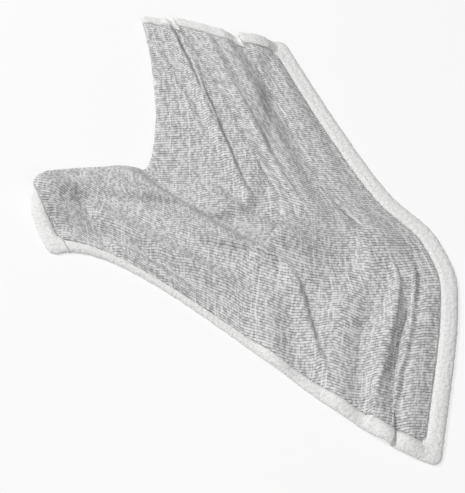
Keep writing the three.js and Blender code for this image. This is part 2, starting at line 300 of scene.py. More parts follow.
class Crossings:
    """Lines across the cloth in plan, from the right edge, square to it, to the left outline."""

    steps = 120

    def __init__(self, along: np.ndarray) -> None:
        """Lay a line at each distance from the hem.

        Args:
            along: Distances from the hem in mm.
        """
        self.start = np.stack([laid("right_x", along), laid("right_y", along)], -1)
        self.end = np.stack([laid("left_x", along), laid("left_y", along)], -1)
        chord = self.end - self.start
        size = np.linalg.norm(chord, axis=-1, keepdims=True)
        out = size * laid("start_reach", along)[:, None]
        self.out = self.square(heading(Side.RIGHT, along)) * out
        lean = laid("lean", along)[:, None]
        into = self.square(heading(Side.LEFT, along)) * (1 - lean) + chord / size * lean
        reach = size * laid("end_reach", along)[:, None]
        self.into = into / np.linalg.norm(into, axis=-1, keepdims=True) * reach
        share = np.linspace(0, 1, self.steps + 1)
        points = self.hermite(np.broadcast_to(share, (len(along), len(share))))
        lengths = np.linalg.norm(np.diff(points, axis=1), axis=-1)
        self.marks = np.concatenate([np.zeros((len(along), 1)), np.cumsum(lengths, 1)], 1)
        self.length = self.marks[:, -1]

    @staticmethod
    def square(direction: np.ndarray) -> np.ndarray:
        """Return plan directions turned a quarter turn to the left."""
        return np.stack([-direction[..., 1], direction[..., 0]], -1)

    def hermite(self, share: np.ndarray) -> np.ndarray:
        """Place points on the curves.

        Args:
            share: Curve parameter, a row for each line.

        Returns:
            Plan points in mm.
        """
        q = share[..., None]
        square, cube = q**2, q**3
        return (
            (2 * cube - 3 * square + 1) * self.start[:, None]
            + (cube - 2 * square + q) * self.out[:, None]
            + (3 * square - 2 * cube) * self.end[:, None]
            + (cube - square) * self.into[:, None]
        )

    def at(self, distance: np.ndarray) -> np.ndarray:
        """Place points by distance from the right edge, on straight ends past the line.

        Args:
            distance: Distances in mm, a row for each line.

        Returns:
            Plan points in mm.
        """
        grid = np.linspace(0, 1, self.steps + 1)
        share = np.stack(
            [np.interp(row, marks, grid) for row, marks in zip(distance, self.marks)]
        )
        before = np.minimum(distance, 0)[..., None]
        after = np.maximum(distance - self.length[:, None], 0)[..., None]
        return self.hermite(share) + before * self.unit(self.out) + after * self.unit(self.into)

    @staticmethod
    def unit(direction: np.ndarray) -> np.ndarray:
        """Return directions at unit length, ready to be scaled by a row of distances."""
        return (direction / np.linalg.norm(direction, axis=-1, keepdims=True))[:, None]


# Shares of a ridge's length in which it rises and falls
RIDGE_RISE = 0.2
RIDGE_FALL = 0.35


def ridge_height(across: np.ndarray, along: np.ndarray) -> np.ndarray:
    """Height of the soft ridges above the cloth's rest.

    Args:
        across: Shares of the way across.
        along: Distances from the hem in mm.

    Returns:
        Heights in mm.
    """
    height = np.zeros(np.broadcast(across, along).shape)
    for ridge in RIDGES:
        run_along = ridge.to_along - ridge.from_along
        run_across = (ridge.to_across - ridge.from_across) * WIDTH
        size = math.hypot(run_along, run_across)
        off_along = along - ridge.from_along
        off_across = (across - ridge.from_across) * WIDTH
        progress = (off_along * run_along + off_across * run_across) / size**2
        off = (off_across * run_along - off_along * run_across) / size
        ends = smooth(progress / RIDGE_RISE) * smooth((1 - progress) / RIDGE_FALL)
        inside = np.maximum(0, 1 - (off / ridge.half) ** 2)
        height = height + ridge.height * ends * inside**ridge.foot
    return height


@dataclass(frozen=True)
class Fineness:
    """How many steps each stretch of a section is cut into, from the right edge to the left.

    The border is given by the insets of its points instead.
    """

    border: tuple[float, ...]
    edge: int
    turn: int
    depth: int
    between: int
    inside: int
    tuck: int


class Sections:
    """The cloth's middle surface over each line: distance from the right edge, and height.

    Lengths are in mm. The cloth lies level for edge_flat at the right edge, and for crest before
    a pleat's end. Past a pleat's nose it runs on for nose_clear or opening_clear at least, and
    past its end for settle. The foot of the inner pleat keeps least_run from the outer one, and
    lead from its own nose. The slope up to the turned-under side is ramp_open long where nothing
    lies under it and ramp_tucked where all of the tuck does, and it ends ramp_gap before that.
    """

    edge_flat, crest, nose_clear, opening_clear = 24, 12, 14, 6
    settle, lead, least_run = 5, 10, 10
    ramp_open, ramp_tucked, ramp_gap = 190, 60, 10

    def __init__(self, along: np.ndarray, crossings: Crossings, fineness: Fineness) -> None:
        """Fold a section over each line.

        Args:
            along: Distances from the hem in mm.
            crossings: The lines in plan.
            fineness: Number of steps for each stretch.
        """
        self.along = along[:, None]
        self.crossings = crossings
        self.fineness = fineness
        self.distances: list[np.ndarray] = []
        self.heights: list[np.ndarray] = []
        self.pleats: list[tuple[int, int]] = []
        self.fold()
        self.distance = np.concatenate(self.distances, 1)
        self.height = np.concatenate(self.heights, 1)

    @property
    def columns(self) -> int:
        """Return the number of columns so far."""
        return sum(part.shape[1] for part in self.distances)

    def value(self, name: str) -> np.ndarray:
        """Return a column of the lay table as a column vector."""
        return laid(name, self.along[:, 0])[:, None]

    def angle(self, name: str) -> np.ndarray:
        """Return a turn from the lay table in radians, never quite zero."""
        return np.maximum(LEVEL, np.radians(self.value(name)))

    def add(self, distance: np.ndarray, height: np.ndarray) -> None:
        """Append columns of points, one row of them for each line.

        Args:
            distance: Distances from the right edge in mm, one column for each point.
            height: Heights of the same points in mm.
        """
        shape = (len(self.along), max(distance.shape[1], height.shape[1]))
        self.distances.append(np.broadcast_to(distance, shape))
        self.heights.append(np.broadcast_to(height, shape))

    def run(self, start: np.ndarray, stop: np.ndarray, count: int, height: Callable) -> None:
        """Append an even run of points.

        Args:
            start: Distance where the run starts, itself left out.
            stop: Distance where it ends.
            count: Number of points.
            height: Height as a function of distance.
        """
        share = np.arange(1, count + 1)[None] / count
        distance = start + (stop - start) * share
        self.add(distance, height(distance))

    def pleat(self, angle: np.ndarray, depth: np.ndarray, fall: np.ndarray) -> None:
        """Append a turn down through an angle, a run at that angle and a turn back to level.

        Args:
            angle: How far the cloth turns, in radians.
            depth: Length of the run in mm.
            fall: Height of the nose above what the cloth lies on.
        """
        bend = TURN / angle
        nose = self.distances[-1][:, -1:]
        part = angle * np.arange(1, self.fineness.turn + 1)[None] / self.fineness.turn
        distance = nose + bend * np.sin(part)
        self.add(distance, self.support(distance) + fall - bend * (1 - np.cos(part)))
        turn = nose + bend * np.sin(angle)
        turn_fall = fall - bend * (1 - np.cos(angle))
        run = depth * np.arange(1, self.fineness.depth + 1)[None] / self.fineness.depth
        distance = turn + run * np.cos(angle)
        self.add(distance, self.support(distance) + turn_fall - run * np.sin(angle))
        inner = turn + depth * np.cos(angle)
        level = turn_fall - depth * np.sin(angle)
        back = angle - part
        distance = inner + bend * (np.sin(angle) - np.sin(back))
        self.add(distance, self.support(distance) + level - bend * (np.cos(back) - np.cos(angle)))

    def support(self, distance: np.ndarray) -> np.ndarray:
        """Height of what the cloth lies on, the ridges among it.

        Args:
            distance: Distances from the right edge in mm.

        Returns:
            Heights of the cloth's middle surface in mm.
        """
        ramp = smooth((distance - self.ramp_end + self.ramp) / self.ramp)
        across = distance / self.crossings.length[:, None]
        return -UNDERSIDE + self.lift * ramp + ridge_height(across, self.along)

    def fold(self) -> None:
        """Lay the section from the right edge to the end of the turned-under side."""
        fine = self.fineness
        tuck, tuck_angle = self.value("tuck"), self.angle("tuck_turn")
        outer_angle, inner_angle = self.angle("outer_turn"), self.angle("inner_turn")
        outer_depth, inner_depth = self.value("outer_depth"), self.value("inner_depth")
        outer_nose, inner_nose = self.value("outer"), self.value("inner")
        radius = TURN / tuck_angle
        reach = np.where(
            tuck_angle < math.pi / 2,
            radius * np.sin(tuck_angle) + tuck * np.cos(tuck_angle),
            radius,
        )
        fold_start = self.crossings.length[:, None] - reach
        turned_under = smooth(tuck_angle / (math.pi / 2) - 1)
        self.lift = (
            radius * (1 - np.cos(tuck_angle))
            + tuck * np.sin(tuck_angle)
            + (BORDER_TOP + UNDERSIDE) * turned_under
        )
        under = np.maximum(0, -np.cos(tuck_angle)) * tuck
        self.ramp_end = fold_start - under - self.ramp_gap
        shorter = self.ramp_tucked - self.ramp_open
        self.ramp = self.ramp_open + shorter * under / np.maximum(under, tuck)
        outer_fall, outer_reach = self.turned(outer_angle, outer_depth)
        inner_fall, inner_reach = self.turned(inner_angle, inner_depth)
        outer_end, inner_end = outer_nose + outer_reach, inner_nose + inner_reach

        def before_outer(distance: np.ndarray) -> np.ndarray:
            """Height on the way up to the outer pleat."""
            climb = smooth((distance - self.edge_flat) / (outer_end - self.crest - self.edge_flat))
            return self.support(distance) + outer_fall * climb

        def before_inner(distance: np.ndarray) -> np.ndarray:
            """Height on the way up to the inner pleat.

            Args:
                distance: Distances from the right edge in mm.

            Returns:
                Heights in mm.
            """
            foot = np.maximum(outer_nose + self.nose_clear, outer_end)
            climb = smooth((distance - foot) / (inner_end - self.crest - foot))
            return self.support(distance) + inner_fall * climb

        insets = np.array(fine.border)[None]
        self.add(insets, before_outer(np.broadcast_to(insets, (len(self.along), insets.size))))
        self.run(np.full_like(outer_nose, BORDER), outer_nose, fine.edge, before_outer)
        noses = [self.columns - 1]
        self.pleat(outer_angle, outer_depth, outer_fall)
        clear = np.maximum(outer_end + self.settle, outer_nose + self.nose_clear)
        latest = np.minimum(inner_end - self.crest, inner_nose - self.lead)
        foot = np.maximum(clear + self.least_run, latest)
        self.run(outer_end, clear, fine.turn, before_inner)
        openings = [self.columns - 1]
        self.run(clear, foot, fine.between, before_inner)
        noses.append(self.columns - 1)
        self.run(foot, inner_nose, fine.turn, before_inner)
        self.pleat(inner_angle, inner_depth, inner_fall)
        opening = np.maximum(inner_end + self.settle, inner_nose + self.opening_clear)
        self.run(inner_end, opening, fine.turn, self.support)
        openings.append(self.columns - 1)
        self.pleats = list(zip(noses, openings))
        self.run(opening, fold_start, fine.inside, self.support)
        top_distance, top_height = self.distances[-1][:, -1:], self.heights[-1][:, -1:]
        part = tuck_angle * np.arange(1, fine.turn + 1)[None] / fine.turn
        self.add(
            top_distance + radius * np.sin(part), top_height - radius * (1 - np.cos(part))
        )
        low_distance, low_height = self.distances[-1][:, -1:], self.heights[-1][:, -1:]
        share = np.arange(1, fine.tuck)[None] / fine.tuck
        run = np.concatenate([(tuck - BORDER) * share, tuck - insets[:, ::-1]], 1)
        self.add(low_distance + run * np.cos(tuck_angle), low_height - run * np.sin(tuck_angle))

    @staticmethod
    def turned(angle: np.ndarray, run: np.ndarray) -> tuple[np.ndarray, np.ndarray]:
        """Work out the fall and the reach of a turn, its run and the turn back.

        Args:
            angle: How far the cloth turns, in radians.
            run: Length of the run in mm.

        Returns:
            Fall and reach in mm.
        """
        radius = TURN / angle
        fall = 2 * radius * (1 - np.cos(angle)) + run * np.sin(angle)
        reach = 2 * radius * np.sin(angle) + run * np.cos(angle)
        return fall, reach


class LatticeNoise:
    """A smooth random field over the flat cloth, the same on every run."""

    size = 512

    def __init__(self, seed: int) -> None:
        """Draw the lattice.

        Args:
            seed: Seed of the random draws.
        """
        self.table = np.random.default_rng(seed).uniform(-1, 1, (self.size, self.size))

    def at(self, u: np.ndarray, v: np.ndarray) -> np.ndarray:
        """Read the field.

        Args:
            u: Place across, in lattice steps.
            v: Place along, in lattice steps.

        Returns:
            Values from -1 to 1.
        """
        i, j = np.floor(u).astype(int), np.floor(v).astype(int)
        a, b = smooth(u - i), smooth(v - j)
        low = self.cell(i, j) * (1 - a) + self.cell(i + 1, j) * a
        high = self.cell(i, j + 1) * (1 - a) + self.cell(i + 1, j + 1) * a
        return low * (1 - b) + high * b

    def cell(self, i: np.ndarray, j: np.ndarray) -> np.ndarray:
        """Return the lattice's own values, repeating past its size."""
        return self.table[i % self.size, j % self.size]


class CurlNoise:
    """Rounded lumps with creases between them, as the curls of a sherpa pile have."""

    size = 512
    middle_range = (0.12, 0.88)
    height_range = (0.55, 1.0)
    spread = 0.8

    def __init__(self, seed: int) -> None:
        """Draw a curl's middle and height for each cell.

        Args:
            seed: Seed of the random draws.
        """
        draws = np.random.default_rng(seed)
        self.middles = draws.uniform(*self.middle_range, (self.size, self.size, 2))
        self.heights = draws.uniform(*self.height_range, (self.size, self.size))

    def at(self, u: np.ndarray, v: np.ndarray) -> np.ndarray:
        """Read the height of the pile.

        Args:
            u: Place across, in curls.
            v: Place along, in curls.

        Returns:
            Heights from 0 in the creases to 1 on the highest curls.
        """
        i, j = np.floor(u).astype(int), np.floor(v).astype(int)
        best = np.zeros(np.broadcast(u, v).shape)
        for di in (-1, 0, 1):
            for dj in (-1, 0, 1):
                a, b = (i + di) % self.size, (j + dj) % self.size
                middle = self.middles[a, b]
                off = (u - i - di - middle[..., 0]) ** 2 + (v - j - dj - middle[..., 1]) ** 2
                lump = self.heights[a, b] * np.maximum(0, 1 - off / self.spread)
                best = np.maximum(best, lump)
        return best


@dataclass
class ClothGrid:
    """The middle surface of the cloth on a grid of rows along it and columns across it."""

    rows: np.ndarray
    fineness: Fineness
    shift: np.ndarray
    distance: np.ndarray = field(init=False)
    height: np.ndarray = field(init=False)

    def __post_init__(self) -> None:
        """Fold the grid and measure it."""
        self.crossings = Crossings(self.rows)
        sections = Sections(self.rows, self.crossings, self.fineness)
        self.distance, self.height = sections.distance, sections.height
        run = np.empty_like(self.distance)
        rise = np.empty_like(self.distance)
        for target, source in ((run, self.distance), (rise, self.height)):
            target[:, 1:-1] = source[:, 2:] - source[:, :-2]
            target[:, 0] = source[:, 1] - source[:, 0]
            target[:, -1] = source[:, -1] - source[:, -2]
        size = np.hypot(run, rise)
        self.side, self.up = -rise / size, run / size
        steps = np.hypot(np.diff(self.distance, axis=1), np.diff(self.height, axis=1))
        self.across = np.concatenate([np.zeros((len(self.rows), 1)), np.cumsum(steps, 1)], 1)
        from_left = self.across[:, -1:] - self.across
        side = np.minimum(self.across, from_left)
        end = np.broadcast_to(
            np.minimum(self.rows, LENGTH - self.rows)[:, None], self.across.shape
        )
        self.inset = np.minimum(side, end)
        plan = self.crossings.at(self.distance)
        to_left = np.where(self.across < from_left, 1, -1)
        to_top = np.where(self.rows < LENGTH / 2, 1, -1)[:, None]
        self.rounding = self.inwards(side, end, to_left, plan, 1)
        self.rounding = self.rounding + self.inwards(end, side, to_top, plan, 0)
        self.place = self.places(sections.pleats)

    @staticmethod
    def inwards(
        near: np.ndarray, other: np.ndarray, way: np.ndarray, plan: np.ndarray, axis: int
    ) -> np.ndarray:
        """Work out how far points move away from one pair of edges to round the corners.

        Args:
            near: Distances from the nearer of these two edges.
            other: Distances from the nearer of the other two.
            way: 1 where distance from that edge grows with the grid's number, -1 where it falls.
            plan: Points of the grid in plan.
            axis: Axis of the grid that leads away from these edges.

        Returns:
            Moves in plan in mm.
        """
        inset = np.minimum(near, other)
        radius = CORNER * (1 - smooth((inset - BORDER) / BORDER)) + LEVEL
        turn = np.clip((inset + radius - np.maximum(near, other)) / radius, 0, 1) * math.pi / 4
        across_turn = np.where(near <= other, np.cos(turn), np.sin(turn))
        start = np.where(near <= other, inset, np.minimum(near, inset + radius))
        move = np.where(turn > 0, inset + radius - radius * across_turn - start, 0)
        direction = np.gradient(plan, axis=axis)
        size = np.maximum(np.linalg.norm(direction, axis=-1, keepdims=True), LEVEL)
        return direction / size * (way * move)[..., None]

    def places(self, pleats: list[tuple[int, int]]) -> np.ndarray:
        """Find each point's place on the flat cloth.

        The yarns up the cloth keep their distance from the right edge as far as the inner pleat.
        Higher up, past that pleat, they keep their distance from the left edge. The yarns across
        run on over a pleat where it opens out, and keep their distance from the far end elsewhere.

        Args:
            pleats: First and last column of each pleat.

        Returns:
            Places across and along in mm.
        """
        # From the hem: where the pleats open out, and the start and length of the change of edge
        opens, sooner, passing = 480, 60, 220
        steps = np.linalg.norm(np.diff(self.points(0.0), axis=0), axis=-1)
        up = np.concatenate([np.zeros((1, steps.shape[1])), np.cumsum(steps, 0)])
        up = self.rows[-1] + up - up[-1]
        level = np.searchsorted(self.rows, opens)
        for first, last in pleats:
            up[:, last:] -= up[level, last] - up[level, first]
            start, stop = self.across[:, first:first + 1], self.across[:, last:last + 1]
            share = (self.across[:, first:last] - start) / (stop - start)
            low, high = up[:, first:first + 1], up[:, last:last + 1]
            up[:, first:last] = low + (high - low) * share
        first, last = pleats[-1]
        past = smooth((np.arange(self.across.shape[1]) - first) / (last - first))
        higher = smooth((self.rows[:, None] - opens + sooner) / passing)
        across = self.across + past * higher * (WIDTH - self.across[:, -1:])
        return np.stack([across, up], -1)

    def points(self, offset: np.ndarray | float) -> np.ndarray:
        """Place points at an offset from the middle surface.

        Args:
            offset: Height above the middle surface in mm, for the whole grid or one number.

        Returns:
            Points in mm, in the part's frame.
        """
        plan = self.crossings.at(self.distance + offset * self.side) + self.rounding
        height = self.height + offset * self.up
        return np.concatenate([plan + self.shift, height[..., None]], -1)


@dataclass
class Skin:
    """A closed mesh in the making: points in mm, faces as index lists, and a place on the flat cloth."""

    points: np.ndarray
    cloth: np.ndarray
    faces: list[np.ndarray]

    def lifted(self) -> None:
        """Keep every point on or above the floor."""
        self.points[:, 2] = np.maximum(self.points[:, 2], FLOOR_GAP)

    def normals(self) -> np.ndarray:
        """Work out the outward direction at each point.

        Returns:
            Unit vectors.
        """
        total = np.zeros_like(self.points)
        for face in self.faces:
            corners = self.points[face]
            spread = np.cross(corners[:, 1] - corners[:, 0], corners[:, 2] - corners[:, 0])
            if face.shape[1] > 3:
                spread = spread + np.cross(
                    corners[:, 2] - corners[:, 0], corners[:, 3] - corners[:, 0]
                )
            for corner in range(face.shape[1]):
                np.add.at(total, face[:, corner], spread)
        return total / np.maximum(np.linalg.norm(total, axis=1, keepdims=True), TINY)

    def build(self, name: str, material: bpy.types.Material) -> bpy.types.Object:
        """Write the mesh into the scene, in metres.

        Args:
            name: Name of the piece.
            material: Its finish.

        Returns:
            The new object.
        """
        faces = [row for face in self.faces for row in face.tolist()]
        mesh = bpy.data.meshes.new(name)
        mesh.from_pydata((self.points * MM).tolist(), [], faces)
        mesh.polygons.foreach_set("use_smooth", [True] * len(faces))
        corners = np.empty(len(mesh.loops), np.int32)
        mesh.loops.foreach_get("vertex_index", corners)
        layer = mesh.uv_layers.new(name=CLOTH_MAP)
        layer.uv.foreach_set("vector", self.cloth[corners].astype(np.float32).ravel())
        mesh.materials.append(material)
        mesh.update()
        piece = bpy.data.objects.new(name, mesh)
        bpy.context.scene.collection.objects.link(piece)
        return piece


class Closing:
    """Makes closed skins from two surfaces on one grid."""

    @staticmethod
    def ring(
        top: np.ndarray, bottom: np.ndarray, cells: np.ndarray, joined: np.ndarray,
        top_cloth: np.ndarray, bottom_cloth: np.ndarray,
    ) -> Skin:
        """Close chosen cells of a grid, with walls where they end.

        Args:
            top: Points of the upper surface, rows by columns by 3.
            bottom: Points of the lower surface.
            cells: Which cells are kept, one fewer each way.
            joined: Which points are one and the same on both surfaces.
            top_cloth: Place of the upper points on the flat cloth.
            bottom_cloth: Place of the lower points on the flat cloth.

        Returns:
            The closed skin.
        """
        rows, columns = joined.shape
        upper = np.arange(rows * columns).reshape(rows, columns)
        lower = np.where(joined, upper, upper + rows * columns)
        corners = [(0, 0), (1, 0), (1, 1), (0, 1)]
        r, c = np.nonzero(cells)
        faces = [
            np.stack([upper[r + i, c + j] for i, j in corners], 1),
            np.stack([lower[r + i, c + j] for i, j in corners[::-1]], 1),
        ]
        padded = np.pad(cells, 1)
        beyond = [(0, -1), (1, 0), (0, 1), (-1, 0)]
        for side, (down, right) in enumerate(beyond):
            edge = cells & ~padded[1 + down:rows + down, 1 + right:columns + right]
            r, c = np.nonzero(edge)
            (i, j), (k, m) = corners[side], corners[(side + 1) % 4]
            open_edge = ~(joined[r + i, c + j] & joined[r + k, c + m])
            r, c = r[open_edge], c[open_edge]
            faces.append(
                np.stack(
                    [upper[r + k, c + m], upper[r + i, c + j], lower[r + i, c + j], lower[r + k, c + m]],
                    1,
                )
            )
        points = np.concatenate([top.reshape(-1, 3), bottom.reshape(-1, 3)])
        cloth = np.concatenate([top_cloth.reshape(-1, 2), bottom_cloth.reshape(-1, 2)])
        used, faces = Closing.used_only([f for f in faces if len(f)])
        return Skin(points[used], cloth[used], faces)

    @staticmethod
    def used_only(faces: list[np.ndarray]) -> tuple[np.ndarray, list[np.ndarray]]:
        """Number the points that faces use from nought.

        Args:
            faces: Index arrays, one for each number of corners.

        Returns:
            The old numbers in order, and the faces with new numbers.
        """
        used = np.unique(np.concatenate([f.ravel() for f in faces]))
        return used, [np.searchsorted(used, f) for f in faces]

    @staticmethod
    def sheet(
        fine: np.ndarray, plain: np.ndarray, cloth: np.ndarray, skip: int, fine_up: bool
    ) -> Skin:
        """Close a grid whose hidden side has fewer rows.

        Args:
            fine: Points of the side that shows.
            plain: Points of the hidden side on the same grid.
            cloth: Place of the points on the flat cloth.
            skip: The hidden side keeps one row in this many.
            fine_up: Whether the side that shows is the upper one.

        Returns:
            The closed skin.
        """
        rows, columns = fine.shape[:2]
        shown = np.arange(rows * columns).reshape(rows, columns)
        kept = plain[::skip]
        hidden = np.arange(kept.shape[0] * columns).reshape(-1, columns) + rows * columns
        outward = [(0, 0), (1, 0), (1, 1), (0, 1)]
        inward = outward[::-1]

        def quads(numbers: np.ndarray, corners: list[tuple[int, int]]) -> np.ndarray:
            """Return the grid's quads with the corners in the order given.

            Args:
                numbers: Numbers of the points, rows by columns.
                corners: Row and column steps to the corners, in order.

            Returns:
                Four point numbers for each quad.
            """
            height, width = numbers.shape
            return np.stack(
                [numbers[i:height - 1 + i, j:width - 1 + j].ravel() for i, j in corners], 1
            )

        faces = [
            quads(shown, outward if fine_up else inward),
            quads(hidden, inward if fine_up else outward),
        ]
        for column, forward in ((0, True), (columns - 1, False)):
            near = [shown[k:rows - skip + k:skip, column] for k in range(skip + 1)]
            wall = np.stack([hidden[:-1, column], hidden[1:, column], *near[::-1]], 1)
            faces.append(wall if forward == fine_up else wall[:, ::-1])
        for row, far, forward in ((0, 0, False), (rows - 1, -1, True)):
            wall = np.stack(
                [hidden[far, :-1], hidden[far, 1:], shown[row, 1:], shown[row, :-1]], 1
            )
            faces.append(wall if forward == fine_up else wall[:, ::-1])
        points = np.concatenate([fine.reshape(-1, 3), kept.reshape(-1, 3)])
        places = np.concatenate([cloth.reshape(-1, 2), cloth[::skip].reshape(-1, 2)])
        return Skin(points, places, faces)


class Seed(Enum):
    """Seeds of the random fields, so that every run gives the same cloth."""

    WAVES = 11
    DRAGS = 12
    PUCKERS = 13
    BORDER_CURLS = 20
    UNDER_CURLS = 21
    FLUFF = 22


class Relief:
    """The unevenness of the laid cloth: slow waves, drag lines, puckers along the seam, creases.

    Heights and lengths are in mm. The shifts only choose which part of a random field is used.
    """

    wave, wave_across, wave_along = 1.5, 95.0, 150.0
    drag, drag_across, drag_along = 0.7, 26.0, 170.0
    pucker, pucker_length, seam_reach = 0.7, 17.0, 20.0
    flat_rim = 30.0
    wave_shift, drag_shift = (3.0, 5.0), (7.0, 2.0)

    def __init__(self) -> None:
        """Draw the random fields."""
        self.waves = LatticeNoise(Seed.WAVES.value)
        self.drags = LatticeNoise(Seed.DRAGS.value)
        self.puckers = LatticeNoise(Seed.PUCKERS.value)

    def at(self, across: np.ndarray, along: np.ndarray, inset: np.ndarray) -> np.ndarray:
        """Work out how far the cloth stands off its even folds.

        Args:
            across: Places across in mm.
            along: Places along in mm.
            inset: Distances in from the cloth's edge in mm.

        Returns:
            Heights in mm.
        """
        (wave_u, wave_v), (drag_u, drag_v) = self.wave_shift, self.drag_shift
        slow = self.wave * self.waves.at(
            across / self.wave_across + wave_u, along / self.wave_along + wave_v
        )
        drag = self.drag * self.drags.at(
            across / self.drag_across + drag_u, along / self.drag_along + drag_v
        )
        seam = np.exp(-((inset - BORDER) / self.seam_reach) ** 2)
        pucker = self.pucker * seam * self.puckers.at(
            across / self.pucker_length, along / self.pucker_length
        )
        creases = sum(crease.at(across, along) for crease in CREASES)
        return smooth(inset / self.flat_rim) * (slow + drag) + pucker + creases


class BorderProfile:
    """The rounded section of the border, by distance in from the cloth's edge."""

    edge = 16.0
    lip = 15.0
    seam = 3.8
    plump = 11.5
    pleated = 8.5
    pressed = 4.4
    shoulder, arch = 0.8, 0.2

    @classmethod
    def top(cls, inset: np.ndarray, along: np.ndarray, facing_up: np.ndarray) -> np.ndarray:
        """Height of the border's top above the middle surface.

        Args:
            inset: Distances in from the cloth's edge in mm.
            along: Distances from the hem in mm.
            facing_up: 1 where the border lies face up, and 0 or less where it is folded under.

        Returns:
            Heights in mm.
        """
        among_pleats = smooth((along - LENGTH + 2 * BORDER) / BORDER)
        open_crown = cls.plump + (cls.pleated - cls.plump) * among_pleats
        crown = cls.pressed + (open_crown - cls.pressed) * smooth(facing_up * 2)
        inner = smooth((BORDER - inset) / cls.lip)
        swell = cls.shoulder + cls.arch * np.sin(np.pi * np.clip(inset / BORDER, 0, 1))
        return cls.seam * (1 - inner) + crown * swell * cls.rounded(inset / cls.edge) * inner

    @classmethod
    def bottom(cls, inset: np.ndarray) -> np.ndarray:
        """Height of the border's underside above the middle surface in mm."""
        return UNDERSIDE * cls.rounded(inset / cls.edge)

    @staticmethod
    def rounded(share: np.ndarray) -> np.ndarray:
        """Rise from 0 to 1 like a quarter circle."""
        return np.sqrt(np.clip(1 - (1 - np.clip(share, 0, 1)) ** 2, 0, 1))


# At 1 the border's steps are even, and above 1 they crowd at its edge
EDGE_CROWDING = 1.25


def border_steps(count: int) -> tuple[float, ...]:
    """Cut the border's width into steps that are finer at its rounded edge.

    Args:
        count: Number of steps.

    Returns:
        Insets from 0 to the border's width in mm.
    """
    share = np.linspace(0, 1, count + 1)
    return tuple(float(x) for x in BORDER * (share**EDGE_CROWDING))


